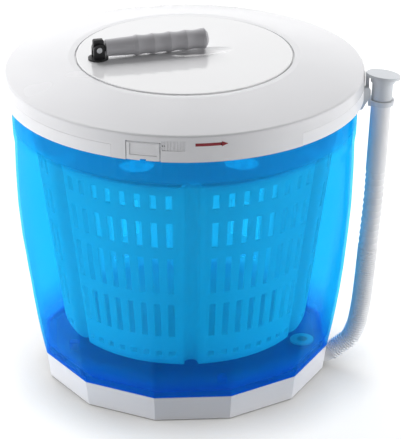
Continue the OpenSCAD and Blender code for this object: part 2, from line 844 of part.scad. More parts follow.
module hose_neck() color("whitesmoke")
    on_neck(0)
        difference() {
            union() {
                translate([0, 0, -barb_len])
                    cylinder(r = barb_r, h = barb_len, $fn = small_fn);
                cylinder(r = hose_r, h = neck_len, $fn = small_fn);
                translate([0, 0, neck_len])
                    cylinder(r = spigot_r, h = spigot_len, $fn = small_fn);
            }
            translate([0, 0, -barb_len - cut])
                cylinder(r = neck_bore_r, h = barb_len + neck_len + spigot_len + 2 * cut,
                    $fn = small_fn);
        }

// Clip round the neck with an arm that leans on the bracket
module hose_clip() color("darkgray")
    difference() {
        union() {
            on_neck(neck_len - clip_h)
                cylinder(r = hose_r + clip_wall, h = clip_h, $fn = small_fn);
            translate([clip_x, clip_arm_y, 0])
                rotate([90, 0, 0])
                    linear_extrude(height = clip_arm_w)
                        polygon([[0, z_clip_foot], [clip_foot_t, z_clip_foot],
                            [clip_foot_t, z_clip_step], [clip_waist_t, z_clip_step],
                            [clip_tip_t, z_clip_top - clip_tip_t], [0, z_clip_top]]);
        }
        on_neck(neck_len - 2 * clip_h)
            cylinder(r = hose_r + run_fit, h = 4 * clip_h, $fn = small_fn);
    }

// Bracket on the rim ring that holds the clip
module clip_bracket() color("darkgray")
    difference() {
        translate([0, clip_arm_y + bracket_side, 0])
            rotate([90, 0, 0])
                linear_extrude(height = bracket_w)
                    polygon([[bracket_in, z_bracket], [bracket_foot, z_bracket],
                        [bracket_x, z_bracket_knee], [bracket_x, z_ring_top - bracket_gap],
                        [bracket_in, z_ring_top - bracket_gap]]);
        translate([0, 0, z_ring_under - 2 * ring_seat])
            cylinder(r = ring_r + ring_seat, h = 2 * (z_ring_top - z_ring_under), $fn = fine);
        translate([0, 0, z_bracket - cut])
            cylinder(r = tub_edge_r + 2 * ring_seat, h = z_ring_top - z_bracket, $fn = fine);
    }

module hose_cap() color("gainsboro")
    difference() {
        union() {
            on_neck(neck_len + shell_gap)
                cylinder(r = cap_sleeve_r, h = cap_len - shell_gap - cap_t / 2, $fn = small_fn);
            on_neck(neck_len + cap_len - cap_t / 2 - cap_band_h)
                cylinder(r = cap_sleeve_r + cap_band_out, h = cap_band_h, $fn = small_fn);
            on_neck(neck_len + cap_len)
                rotate([-cap_nod, cap_tilt - neck_lean, 0])
                    translate([0, 0, -cap_t])
                        cylinder(r = cap_r, h = cap_t, $fn = round_fn);
            translate([strap_x, strap_y, z_strap])
                cube([strap_w, strap_d, strap_len]);
        }
        on_neck(neck_len - cut)
            cylinder(r = spigot_r + run_fit, h = spigot_len + cut + spigot_end_gap,
                $fn = small_fn);
    }

// Lid
module lid_outline()
    union() {
        intersection() {
            translate([0, dome_zc])
                circle(r = dome_r, $fn = 4 * fine);
            polygon([[0, dome_zc], [0, dome_zc] + 2 * (crease_touch - [0, dome_zc]),
                [0, dome_zc + 2 * dome_r]]);
        }
        translate([lid_r - crease_r, crease_z])
            circle(r = crease_r, $fn = small_fn);
        polygon([[0, z_apron], [lid_r, z_apron], [lid_r, crease_z], [lid_r - crease_r, crease_z],
            crease_touch, [0, crease_touch[1]]]);
    }

module lid_section() {
    difference() {
        intersection() {
            lid_outline();
            translate([lid_hole_r, z_apron - cut])
                square([lid_r, z_disc - z_apron]);
        }
        intersection() {
            translate([0, dome_zc])
                circle(r = dome_r - lid_wall, $fn = 4 * fine);
            translate([0, z_apron - 2 * cut])
                square([lid_inner_r, z_disc - z_apron]);
        }
    }
    translate([locate_r - locate_t, z_plate - locate_drop])
        square([locate_t, dome_z(locate_r, lid_wall / 2) - z_plate + locate_drop]);
}

module lid_shell() color("whitesmoke")
    difference() {
        union() {
            rotate_extrude($fn = fine)
                lid_section();
            around(lid_screws_n, lid_screw_place_r, lid_screw_turn)
                translate([0, 0, z_plate_top])
                    cylinder(r = screw_r + lid_boss_wall,
                        h = dome_z(lid_screw_place_r, lid_wall / 2) - z_plate_top,
                        $fn = small_fn);
            for (at = [front_latch_at, rear_latch_at])
                latch_ears(at);
        }
        for (turn = [0, 180]) {
            sector(locate_r + cut, lid_r + cut, apron_to + turn, apron_from + 180 + turn,
                z_apron - cut, z_lid);
            sector(locate_r + cut, lid_r + cut, front_latch_at - window_half + turn,
                front_latch_at + window_half + turn, z_apron - cut,
                z_latch_pin + latch_barrel_r + latch_gap);
        }
        around(lid_screws_n, lid_screw_place_r, lid_screw_turn)
            translate([0, 0, z_plate_top - cut])
                cylinder(r = screw_r + thread_gap, h = screw_bite + cut + blind_gap,
                    $fn = small_fn);
        for (at = [front_latch_at, rear_latch_at])
            latch_axle(at, latch_pin_r + run_fit, latch_pin_len + latch_gap);
        grip_panel();
    }

// Rod along a latch's pin
module latch_axle(at, r, length)
    rotate([0, 0, at])
        translate([latch_pin_place_r, 0, z_latch_pin])
            rotate([90, 0, 0])
                cylinder(r = r, h = length, center = true, $fn = small_fn);

// Ears beside a latch's window that carry its pin
module latch_ears(at)
    rotate([0, 0, at])
        for (side = [-1, 1])
            translate([latch_pin_place_r - latch_pin_r - ear_wall,
                side * (lid_r * sin(window_half) + ear_w / 2) - ear_w / 2, z_lid])
                cube([2 * (latch_pin_r + ear_wall) - ear_back, ear_w,
                    z_latch_pin + latch_pin_r + ear_wall - z_lid]);

// Ribbed panel beside the front latch
module grip_panel()
    difference() {
        sector(lid_r - panel_depth, lid_r + cut, panel_from, panel_to, z_panel, z_panel_top);
        for (i = [0 : panel_ribs - 1])
            rotate([0, 0, panel_from + (i + 0.5) * (panel_to - panel_from) / panel_ribs])
                translate([lid_r - 2 * panel_depth, -panel_rib_w / 2, z_panel - cut])
                    cube([1.6 * panel_depth, panel_rib_w, z_panel_top - z_panel + 2 * cut]);
    }

// Latch with a sunk face between two rims and a ledge, and a notch above the tub's stop
module latch(at) color("whitesmoke")
    difference() {
        union() {
            sector(lid_r - latch_plate_t, lid_r, at - latch_half, at + latch_half,
                z_latch_foot, z_latch_pin);
            intersection() {
                latch_axle(at, latch_barrel_r, 2 * lid_r * sin(latch_half));
                sector(locate_r, lid_r, at - latch_half, at + latch_half,
                    z_latch_pin - latch_barrel_r - cut, z_latch_pin + latch_barrel_r + cut);
            }
            sector(apron_ring_r + catch_out, lid_r - latch_plate_t / 2, at - catch_half,
                at + catch_half, z_latch_foot, z_latch_foot + catch_h);
        }
        latch_axle(at, latch_pin_r + run_fit, 2 * lid_r * sin(latch_half) + 2 * cut);
        sector(lid_r - latch_sink, lid_r + cut, at - latch_half + latch_side_rim,
            at + latch_half - latch_side_rim, z_latch_foot + latch_ledge, z_latch_pin + latch_pin_r);
        rotate([0, 0, at])
            translate([apron_ring_r - cut, -notch_w / 2, z_latch_foot - cut])
                cube([lid_r - apron_ring_r + 2 * cut, notch_w, notch_h + cut]);
    }

module front_latch() latch(front_latch_at);

module rear_latch() latch(rear_latch_at);

module latch_pins() color("silver")
    for (at = [front_latch_at, rear_latch_at])
        latch_axle(at, latch_pin_r, latch_pin_len);

// Gear plate under the lid
module gear_plate() color("gainsboro")
    difference() {
        union() {
            translate([0, 0, z_plate])
                cylinder(r = plate_r, h = plate_t, $fn = fine);
            rotate_extrude($fn = fine)
                translate([disc_flange_r - track_inset, z_plate + plate_t / 2])
                    square([track_t, z_flange - shell_gap - z_plate - plate_t / 2]);
            translate([0, 0, z_plate_boss])
                cylinder(r = plate_boss_r, h = z_shoulder_under - shell_gap - z_plate_boss,
                    $fn = round_fn);
            around(3, planet_place_r, planets_from)
                translate([0, 0, z_plate + plate_t / 2])
                    cylinder(r = planet_boss_r, h = z_gear - shell_gap - z_plate - plate_t / 2,
                        $fn = small_fn);
        }
        translate([0, 0, z_plate_boss - cut])
            cylinder(r = sun_shaft_r + run_fit, h = z_gear - z_plate_boss, $fn = small_fn);
        around(3, planet_place_r, planets_from)
            translate([0, 0, z_plate - cut])
                cylinder(r = planet_pin_r + seat_fit, h = z_gear - z_plate + cut, $fn = small_fn);
        around(lid_screws_n, lid_screw_place_r, lid_screw_turn)
            translate([0, 0, z_plate - cut])
                cylinder(r = screw_r + hole_gap, h = plate_t + 2 * cut, $fn = small_fn);
    }

module lid_screws() color("silver")
    around(lid_screws_n, lid_screw_place_r, lid_screw_turn)
        translate([0, 0, z_plate])
            screw(screw_head_r, lid_screw_head_h, screw_r, plate_t + screw_bite);

module planet_pins() color("silver")
    around(3, planet_place_r, planets_from) {
        translate([0, 0, z_plate])
            cylinder(r = planet_pin_r, h = z_gear_top + pin_head_gap - z_plate, $fn = small_fn);
        translate([0, 0, z_gear_top + pin_head_gap])
            cylinder(r = pin_head_r, h = pin_head_h, $fn = small_fn);
    }

// Wheels
function involute(r, base) = tan(acos(min(1, base / r))) * 180 / PI - acos(min(1, base / r));

// Half the angle of a tooth at a radius
function tooth_half(n, r, play) = let (p = tooth_module * n / 2, base = p * cos(pressure_angle))
    90 / n - play * 90 / (PI * p) + involute(p, base) - involute(max(r, base), base);

// Toothed outline, with a tooth on +X, that goes up one flank of each tooth and down the other
function wheel(n, out, in, play) = let (p = tooth_module * n / 2,
    low = max(p * cos(pressure_angle), p - in))
    [for (i = [0 : n - 1]) for (j = [0 : 2 * flank_steps + 1])
        let (up = j <= flank_steps, step = up ? j : 2 * flank_steps + 1 - j,
            r = step == 0 ? p - in : low + (p + out - low) * (step - 1) / (flank_steps - 1),
            a = i * 360 / n + (up ? -1 : 1) * tooth_half(n, r, play)) [r * cos(a), r * sin(a)]];

module ring_gear() color("whitesmoke")
    difference() {
        union() {
            translate([0, 0, z_gear - ring_over])
                cylinder(r = ring_gear_r, h = z_disc_under - z_gear + ring_over, $fn = fine);
            translate([0, 0, z_disc_under - ring_flange_t])
                cylinder(r = ring_flange_r, h = ring_flange_t, $fn = fine);
        }
        translate([0, 0, z_gear - ring_over - cut])
            linear_extrude(height = z_disc_under - z_gear + ring_over + 2 * cut)
                rotate([0, 0, planets_from])
                    polygon(wheel(ring_teeth, tooth_in, ring_tooth_in, -backlash));
        around(gear_screws_n, gear_screw_place_r, gear_screw_turn)
            translate([0, 0, z_disc_under - ring_flange_t - cut])
                cylinder(r = gear_screw_r + hole_gap, h = ring_flange_t + 2 * cut,
                    $fn = small_fn);
    }

module gear_screws() color("silver")
    around(gear_screws_n, gear_screw_place_r, gear_screw_turn)
        translate([0, 0, z_disc_under - ring_flange_t])
            screw(gear_head_r, small_head_h, gear_screw_r, ring_flange_t + small_bite);

module planet_gear(i) color("white")
    rotate([0, 0, planets_from + 120 * i])
        translate([planet_place_r, 0, z_gear])
            difference() {
                linear_extrude(height = gear_w)
                    polygon(wheel(planet_teeth, tooth_out, tooth_in, backlash));
                translate([0, 0, -cut])
                    cylinder(r = planet_pin_r + run_fit, h = gear_w + 2 * cut, $fn = small_fn);
            }

module planet_gear_1() planet_gear(0);

module planet_gear_2() planet_gear(1);

module planet_gear_3() planet_gear(2);

module sun_gear() color("white")
    difference() {
        union() {
            translate([0, 0, z_gear])
                linear_extrude(height = gear_w)
                    rotate([0, 0, planets_from + 180 / sun_teeth])
                        polygon(wheel(sun_teeth, tooth_out, tooth_in, backlash));
            translate([0, 0, z_shoulder_under])
                cylinder(r = sun_shoulder_r, h = sun_shoulder_h, $fn = small_fn);
            translate([0, 0, z_shaft_step])
                cylinder(r = sun_shaft_r, h = z_shoulder_under - z_shaft_step, $fn = small_fn);
            translate([0, 0, z_drive])
                cylinder(r = sun_hex_r, h = z_shaft_step - z_drive, $fn = 6);
        }
        translate([0, 0, z_gear_top - stub_len - shell_gap])
            cylinder(r = stub_r + run_fit, h = stub_len + shell_gap + cut, $fn = small_fn);
        translate([0, 0, z_drive - cut])
            cylinder(r = drive_screw_r + thread_gap, h = drive_screw_len + cut + blind_gap,
                $fn = small_fn);
    }

// Crank disc
module crank_disc() color("white")
    difference() {
        union() {
            rotate_extrude($fn = fine)
                disc_section();
            cylinder_at(stub_collar_r, z_gear_top + shell_gap, z_disc_under + cut);
            cylinder_at(stub_r, z_gear_top - stub_len, z_disc_under);
        }
        translate([0, 0, z_disc])
            rotate([0, 0, grip_angle])
                translate([recess_at, 0, 0])
                    recess_cutter();
        around(gear_screws_n, gear_screw_place_r, gear_screw_turn)
            translate([0, 0, z_disc_under - cut])
                cylinder(r = gear_screw_r + pilot_gap, h = small_bite + blind_gap + cut,
                    $fn = small_fn);
        in_handle()
            for (side = [-1, 1])
                translate([0, side * bracket_screw_y, -pivot_h - disc_t - cut])
                    cylinder(r = bracket_screw_r + hole_gap, h = disc_t + 2 * cut,
                        $fn = small_fn);
    }

module cylinder_at(r, z0, z1)
    translate([0, 0, z0])
        cylinder(r = r, h = z1 - z0, $fn = small_fn);

module disc_section() {
    translate([0, z_disc_under])
        square([disc_r - disc_round, disc_t]);
    translate([0, z_disc_under])
        square([disc_r, disc_t - disc_round]);
    translate([disc_r - disc_round, z_disc - disc_round])
        circle(r = disc_round, $fn = small_fn);
    translate([disc_r - disc_land, z_flange])
        square([disc_flange_r - disc_r + disc_land, disc_flange_t]);
}

// Barrel whose sunk side leaves a lens shaped finger recess
recess_belly = (recess_w * recess_w / 4 + recess_depth * recess_depth) / (2 * recess_depth);
recess_arc = (recess_len * recess_len / 4 + recess_depth * recess_depth) / (2 * recess_depth);

module recess_cutter()
    translate([0, 0, recess_belly - recess_depth])
        rotate([0, 90, 0])
            rotate_extrude($fn = fine)
                intersection() {
                    translate([recess_belly - recess_arc, 0])
                        circle(r = recess_arc, $fn = fine);
                    translate([0, -recess_len / 2 - recess_over])
                        square([recess_belly + cut, recess_len + 2 * recess_over]);
                }

// Moves into the handle's frame
module in_handle()
    translate(pivot)
        rotate([0, 0, grip_angle])
            children();

bracket_screw_y = (fork_w + fork_slot) / 4;
bracket_screw_top = pivot_h - fold_pin_r - ear_wall;

module crank_bracket() color("black")
    in_handle()
        difference() {
            union() {
                translate([0, 0, -pivot_h])
                    cylinder(r = bracket_flange_r, h = bracket_flange_t, $fn = round_fn);
                translate([-fork_w / 2, -fork_w / 2, -pivot_h])
                    cube([fork_w, fork_w, pivot_h]);
                rotate([90, 0, 0])
                    cylinder(r = fork_w / 2, h = fork_w, center = true, $fn = small_fn);
            }
            translate([-fork_w, -fork_slot / 2, -pivot_h + bracket_flange_t])
                cube([2 * fork_w, fork_slot, 2 * pivot_h]);
            rotate([90, 0, 0])
                cylinder(r = fold_pin_r + seat_fit, h = fork_w + 2 * cut, center = true,
                    $fn = small_fn);
            for (side = [-1, 1])
                translate([0, side * bracket_screw_y, -pivot_h - cut])
                    cylinder(r = bracket_screw_r + pilot_gap, h = bracket_screw_top + cut,
                        $fn = small_fn);
        }

module bracket_screws() color("silver")
    in_handle()
        for (side = [-1, 1])
            translate([0, side * bracket_screw_y, -pivot_h - disc_t])
                screw(bracket_head_r, small_head_h, bracket_screw_r,
                    disc_t + bracket_screw_top - blind_gap);

module fold_pin() color("silver")
    in_handle()
        rotate([90, 0, 0]) {
            cylinder(r = fold_pin_r, h = fork_w, center = true, $fn = small_fn);
            for (side = [0, 1])
                mirror([0, 0, side])
                    translate([0, 0, fork_w / 2])
                        cylinder(r = fold_pin_r + fold_head, h = fold_head, $fn = small_fn);
        }

// Knuckle with a lever above it, and the rod that a tongue joins to it beyond the fork
module handle_shaft() color("black")
    in_handle()
        difference() {
            union() {
                rotate([90, 0, 0])
                    cylinder(r = knuckle_r, h = knuckle_w, center = true, $fn = small_fn);
                translate([-knuckle_r, -knuckle_w / 2, 0])
                    cube([2 * knuckle_r, knuckle_w, knuckle_up - knuckle_round]);
                translate([-knuckle_r + knuckle_round, -knuckle_w / 2, 0])
                    cube([2 * (knuckle_r - knuckle_round), knuckle_w, knuckle_up]);
                for (side = [-1, 1])
                    translate([side * (knuckle_r - knuckle_round), 0, knuckle_up - knuckle_round])
                        rotate([90, 0, 0])
                            cylinder(r = knuckle_round, h = knuckle_w, center = true,
                                $fn = small_fn);
                translate([0, -knuckle_w / 2, -tongue_half])
                    cube([rod_from + tongue_bite, knuckle_w, 2 * tongue_half]);
                translate([rod_from, 0, 0])
                    rotate([0, 90, 0])
                        cylinder(r = rod_r, h = rod_end - rod_from, $fn = small_fn);
            }
            rotate([90, 0, 0])
                cylinder(r = fold_pin_r + run_fit, h = fork_w, center = true, $fn = small_fn);
            translate([rod_end - grip_shank_len - blind_gap, 0, 0])
                rotate([0, 90, 0])
                    cylinder(r = grip_shank_r + thread_gap,
                        h = grip_shank_len + blind_gap + cut, $fn = small_fn);
        }

module grip_screw() color("silver")
    in_handle()
        translate([rod_end, 0, 0])
            rotate([0, 90, 0])
                union() {
                    cylinder(r = grip_screw_r, h = grip_screw_h, $fn = small_fn);
                    translate([0, 0, -grip_shank_len])
                        cylinder(r = grip_shank_r, h = grip_shank_len, $fn = small_fn);
                }

// Grip, drawn with its axis upright and its near end at zero
sleeve_len = grip_len - end_cap_len;
scallop_from = sleeve_len - scallops * scallop_pitch;
scallop_arc = (scallop_pitch * scallop_pitch / 4 + scallop_depth * scallop_depth)
    / (2 * scallop_depth);
ridge_r = grip_r + scallop_depth;

module grip_section()
    difference() {
        union() {
            polygon([[0, 0], [grip_near_r - grip_edge, 0], [grip_near_r, grip_edge],
                [grip_r, grip_taper_len], [ridge_r, scallop_from], [0, scallop_from]]);
            translate([0, scallop_from])
                square([ridge_r, scallops * scallop_pitch]);
        }
        for (i = [0 : scallops - 1])
            translate([grip_r + scallop_arc, scallop_from + (i + 0.5) * scallop_pitch])
                circle(r = scallop_arc, $fn = 4 * round_fn);
    }

module grip_sleeve() color("lightgray")
    in_handle()
        translate([grip_start, 0, 0])
            rotate([0, 90, 0])
                difference() {
                    rotate_extrude($fn = round_fn)
                        grip_section();
                    translate([0, 0, -cut])
                        cylinder(r = rod_r + run_fit, h = grip_len, $fn = small_fn);
                    translate([0, 0, rod_end - grip_start - grip_end_gap])
                        cylinder(r = grip_screw_r + grip_well_gap, h = grip_len, $fn = small_fn);
                }

module grip_end_cap() color("lightgray")
    in_handle()
        translate([grip_start + sleeve_len, 0, 0])
            rotate([0, 90, 0])
                union() {
                    rotate_extrude($fn = round_fn)
                        intersection() {
                            square([ridge_r, end_cap_len]);
                            translate([0, end_cap_len - end_cap_ball])
                                circle(r = end_cap_ball, $fn = 4 * round_fn);
                        }
                    translate([0, 0, -end_cap_plug])
                        cylinder(r = grip_screw_r + grip_well_gap - hole_gap, h = end_cap_plug,
                            $fn = small_fn);
                }

// Basket
// Cross section of a flute cutter, grown by a margin, with the wall's face along X
module flute_outline(wall_r, more) {
    half = flute_r + flute_lip_r;
    lip_y = wall_r - sqrt(pow(wall_r - flute_lip_r, 2) - half * half);
    difference() {
        union() {
            translate([0, flute_depth - flute_r])
                circle(r = flute_r + more, $fn = small_fn);
            translate([-flute_r - more, -flute_reach])
                square([2 * (flute_r + more), flute_depth - flute_r + flute_reach]);
            translate([-half * wall_r / (wall_r - flute_lip_r), -flute_reach])
                square([2 * half * wall_r / (wall_r - flute_lip_r), lip_y + flute_reach]);
        }
        for (side = [-1, 1])
            translate([side * half, lip_y])
                circle(r = flute_lip_r - more, $fn = small_fn);
    }
}

// Flute cutters that lean with the wall
module flute_cutters(more)
    for (i = [0 : flutes - 1])
        rotate([0, 0, -90 + i * flute_angle])
            translate([basket_r(z_basket), 0, z_basket])
                rotate([0, basket_lean, 0])
                    rotate([0, 0, 90])
                        translate([0, 0, -flute_over])
                            linear_extrude(height = basket_h + 2 * flute_over)
                                flute_outline(basket_r(z_basket + basket_h / 2), more);

module basket_section(more) {
    low = z_basket + more;
    edge = more / cos(basket_lean);
    r = basket_round - more;
    at = basket_r(low + r) - edge - r / cos(basket_lean);
    top = z_mouth + (more > 0 ? cut : 0);
    polygon([[0, low], [at, low], [at, low + r],
        [at + r * cos(basket_lean), low + r - r * sin(basket_lean)],
        [basket_r(top) - edge, top], [0, top]]);
    translate([at, low + r])
        circle(r = r, $fn = round_fn);
}

module basket() color("lightskyblue")
    difference() {
        union() {
            difference() {
                difference() {
                    rotate_extrude($fn = fine) {
                        basket_section(0);
                        translate([0, z_mouth - rim_lip_h])
                            square([basket_mouth_r + rim_lip, rim_lip_h]);
                    }
                    flute_cutters(0);
                }
                difference() {
                    rotate_extrude($fn = fine)
                        basket_section(basket_wall);
                    flute_cutters(basket_wall);
                }
            }
            translate([0, 0, z_basket])
                cylinder(r = basket_hub_r, h = basket_hub_h, $fn = small_fn);
        }
        translate([0, 0, z_basket - cut])
            cylinder(r = bush_r + seat_fit, h = hub_bore_h + cut, $fn = small_fn);
        slots();
    }

module slots()
    for (lobe = [0 : flutes - 1])
        for (column = [0 : slot_columns - 1])
            rotate([0, 0, -90 + (lobe + 0.5) * flute_angle
                + (column - (slot_columns - 1) / 2) * slot_pitch])
                for (row = slot_rows)
                    translate([basket_r(z_basket + row[0] * basket_h) - slot_reach, -slot_w / 2,
                        z_basket + row[0] * basket_h])
                        cube([2 * slot_reach, slot_w, (row[1] - row[0]) * basket_h]);

module basket_bush() color("white")
    difference() {
        union() {
            translate([0, 0, z_collar_top + bush_end_gap])
                cylinder(r = bush_flange_r, h = basket_lift - bush_end_gap, $fn = small_fn);
            translate([0, 0, z_basket])
                cylinder(r = bush_r, h = bush_len, $fn = small_fn);
        }
        translate([0, 0, z_collar_top])
            cylinder(r = spindle_r + run_fit, h = basket_lift + bush_len + cut, $fn = small_fn);
    }

// Plate that carries the sun wheel's turn into the flutes of the basket
module drive_plate() color("whitesmoke")
    difference() {
        union() {
            translate([0, 0, z_drive])
                linear_extrude(height = drive_plate_t)
                    drive_outline();
            translate([0, 0, z_drive])
                cylinder(r = drive_hub_r, h = z_shaft_step - shell_gap - z_drive, $fn = small_fn);
        }
        translate([0, 0, z_drive - cut])
            cylinder(r = sun_hex_r + hex_gap, h = z_shaft_step - z_drive + 2 * cut, $fn = 6);
        for (place = drive_hole_places)
            around(flutes, place * basket_mouth_r, -90 + flute_angle / 2)
                translate([0, 0, z_drive - cut])
                    cylinder(r = drive_hole_r, h = drive_plate_t + 2 * cut, $fn = round_fn);
    }

module drive_outline()
    difference() {
        circle(r = basket_r(z_drive) - basket_wall / cos(basket_lean) - drive_gap, $fn = fine);
        for (i = [0 : flutes - 1])
            rotate([0, 0, -90 + i * flute_angle])
                translate([basket_r(z_drive), 0])
                    rotate([0, 0, 90])
                        flute_outline(basket_r(z_basket + basket_h / 2), basket_wall + drive_gap);
    }

module drive_screw() color("silver")
    translate([0, 0, z_drive])
        screw(sun_hex_r + drive_head_out, screw_head_h, drive_screw_r, drive_screw_len);

base_plinth();
feet();
base_screws();
tub();
rim_ring();
spindle();
spindle_washer();
spindle_nut();
drain_elbow();
hose();
hose_neck();
hose_clip();
clip_bracket();
hose_cap();
lid_shell();
gear_plate();
lid_screws();
planet_pins();
latch_pins();
front_latch();
rear_latch();
crank_disc();
ring_gear();
gear_screws();
crank_bracket();
bracket_screws();
fold_pin();
handle_shaft();
grip_screw();
grip_sleeve();
grip_end_cap();
planet_gear_1();
planet_gear_2();
planet_gear_3();
sun_gear();
drive_plate();
drive_screw();
basket();
basket_bush();
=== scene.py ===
"""Looks of the hand cranked washing machine, in metres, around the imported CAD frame.

Z is up, the front faces -Y and the drain hose stands on the +X side.
"""
import bpy
import bmesh
import math
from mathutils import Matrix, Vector


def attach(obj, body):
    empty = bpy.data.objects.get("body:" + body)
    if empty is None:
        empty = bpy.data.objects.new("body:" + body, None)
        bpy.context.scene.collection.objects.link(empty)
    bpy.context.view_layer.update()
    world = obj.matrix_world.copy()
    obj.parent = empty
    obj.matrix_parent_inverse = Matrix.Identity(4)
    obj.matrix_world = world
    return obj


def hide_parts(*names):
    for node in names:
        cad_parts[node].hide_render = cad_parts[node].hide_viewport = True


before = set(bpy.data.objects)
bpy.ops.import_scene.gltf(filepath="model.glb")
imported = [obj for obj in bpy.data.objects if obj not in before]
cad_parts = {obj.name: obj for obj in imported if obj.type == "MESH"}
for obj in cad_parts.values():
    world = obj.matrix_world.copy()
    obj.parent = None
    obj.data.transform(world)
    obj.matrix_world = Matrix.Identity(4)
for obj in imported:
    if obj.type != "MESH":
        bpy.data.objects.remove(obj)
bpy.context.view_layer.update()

MM = 0.001


def link_object(name, data):
    """A new object of the scene."""
    obj = bpy.data.objects.new(name, data)
    bpy.context.scene.collection.objects.link(obj)
    return obj


def look_from(obj, at, aim):
    """Stand a camera or a lamp at a point and turn it to another."""
    obj.location = at
    obj.rotation_euler = (Vector(aim) - Vector(at)).to_track_quat("-Z", "Y").to_euler()


# Camera, at the photograph's viewing angle
CAMERA_AT = (-0.1306, -2.5777, 1.336)
CAMERA_AIM = (0.0157, -0.0008, 0.1549)
CAMERA_LENS = 252.3
CAMERA_SENSOR = 36.0
CAMERA_REACH = 50


def add_camera():
    data = bpy.data.cameras.new("camera")
    data.sensor_fit = "HORIZONTAL"
    data.sensor_width = CAMERA_SENSOR
    data.lens = CAMERA_LENS
    data.clip_end = CAMERA_REACH
    camera = link_object("camera", data)
    look_from(camera, CAMERA_AT, CAMERA_AIM)
    bpy.context.scene.camera = camera


add_camera()


# Mesh helpers
def mesh_object(name, points, faces, body):
    """A smooth mesh piece that rides on a body."""
    mesh = bpy.data.meshes.new(name)
    mesh.from_pydata([tuple(p) for p in points], [], faces)
    mesh.validate()
    bm = bmesh.new()
    bm.from_mesh(mesh)
    bmesh.ops.recalc_face_normals(bm, faces=bm.faces)
    bm.to_mesh(mesh)
    bm.free()
    for polygon in mesh.polygons:
        polygon.use_smooth = True
    obj = link_object(name, mesh)
    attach(obj, body)
    return obj


def ring_faces(count, rings):
    """Quads between rings of equal count, with the last ring joined to the first."""
    faces = []
    for i in range(rings):
        a, b = i * count, ((i + 1) % rings) * count
        for k in range(count):
            n = (k + 1) % count
            faces.append((a + k, a + n, b + n, b + k))
    return faces


# Hose, in mm: the CAD part's route, each point to the side and up, between drain pipe and neck
HOSE_Y = -26.0
HOSE_ROUTE = [(148, 15.5), (163.8, 27.8), (172.5, 43), (176.8, 64), (179.8, 92),
              (183, 132), (188, 196), (189, 216)]
HOSE_R = 10.0
HOSE_BORE_R = 8.0
HOSE_SIDES = 40
BORE_STEPS = 4
# Ribs, fine in the lower sections of the route and coarse above them
FINE_SECTIONS = 5
FINE_PITCH = 2.4
COARSE_PITCH = 7.3
FINE_DEPTH = 1.1
COARSE_DEPTH = 1.3
# Places along one rib, as shares of the pitch, and the share of the depth cut away there
FINE_RIB = [(0.05, 0.55), (0.2, 0.1), (0.35, 0), (0.5, 0.1), (0.65, 0.55), (0.8, 1), (0.95, 1)]
COARSE_RIB = [(0.03, 0.4), (0.08, 0.05), (0.16, 0), (0.4, 0.2), (0.65, 0.5), (0.88, 0.85),
              (0.95, 1), (0.99, 0.85)]
# Spacing of the points that stand for the hose's middle, and their least number in a section
PATH_SPACING = 4
PATH_LEAST = 3
# Share of a section over which its direction is taken
HEADING_SHARE = 0.01


def hose_heading(i):
    """Direction of the route at one of its points, along its straight ends there."""
    last = len(HOSE_ROUTE) - 1
    a, b = (0, 1) if i <= 1 else (last - 1, last) if i >= last - 1 else (i - 1, i + 1)
    d = Vector(HOSE_ROUTE[b]) - Vector(HOSE_ROUTE[a])
    return d.normalized()


def hose_span(i):
    return (Vector(HOSE_ROUTE[i + 1]) - Vector(HOSE_ROUTE[i])).length


def hose_point(i, t):
    """Point of the smooth curve at the share t of section i."""
    a, b = Vector(HOSE_ROUTE[i]), Vector(HOSE_ROUTE[i + 1])
    span = hose_span(i)
    return ((1 + 2 * t) * (1 - t) ** 2 * a + t * (1 - t) ** 2 * span * hose_heading(i)
            + t * t * (3 - 2 * t) * b - t * t * (1 - t) * span * hose_heading(i + 1))


def hose_way(i, t):
    ahead = hose_point(i, min(t + HEADING_SHARE, 1))
    behind = hose_point(i, max(t - HEADING_SHARE, 0))
    return (ahead - behind).normalized()


def hose_middle(i, t):
    """Point of the hose's middle, in metres."""
    p = hose_point(i, t)
    return p.x * MM, HOSE_Y * MM, p.y * MM


def hose_ring(i, t, r):
    """Points around the route, in metres."""
    p, d = hose_point(i, t), hose_way(i, t)
    ring = []
    for k in range(HOSE_SIDES):
        a = 2 * math.pi * k / HOSE_SIDES
        ring.append(Vector((p.x + r * math.cos(a) * d.y, HOSE_Y + r * math.sin(a),
                            p.y - r * math.cos(a) * d.x)) * MM)
    return ring


def make_hose():
    """Ribbed outside up the route, then the smooth bore back down it."""
    rings = [hose_ring(0, 0, HOSE_R)]
    path = []
    sections = len(HOSE_ROUTE) - 1
    for i in range(sections):
        fine = i < FINE_SECTIONS
        pitch, deep, rib = ((FINE_PITCH, FINE_DEPTH, FINE_RIB) if fine
                            else (COARSE_PITCH, COARSE_DEPTH, COARSE_RIB))
        ribs = round(hose_span(i) / pitch)
        for k in range(ribs):
            rings += [hose_ring(i, (k + share) / ribs, HOSE_R - drop * deep) for share, drop in rib]
        steps = max(PATH_LEAST, round(hose_span(i) / PATH_SPACING))
        path += [hose_middle(i, k / steps) for k in range(steps)]
    last = sections - 1
    path.append(hose_middle(last, 1))
    rings += [hose_ring(last, 1, r) for r in (HOSE_R, HOSE_BORE_R)]
    for i in range(last, -1, -1):
        rings += [hose_ring(i, k / BORE_STEPS, HOSE_BORE_R) for k in range(BORE_STEPS - 1, -1, -1)]
    points = [p for ring in rings for p in ring]
    obj = mesh_object("ribbed_hose", points, ring_faces(HOSE_SIDES, len(rings)),
                      "tub_body")
    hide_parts("hose")
    return obj


hose = make_hose()


# Node helpers
def material(name):
    """A new material, its node tree and its surface input."""
    mat = bpy.data.materials.new(name)
    mat.use_nodes = True
    tree = mat.node_tree
    tree.nodes.clear()
    out = tree.nodes.new("ShaderNodeOutputMaterial")
    return mat, tree, out.inputs["Surface"]


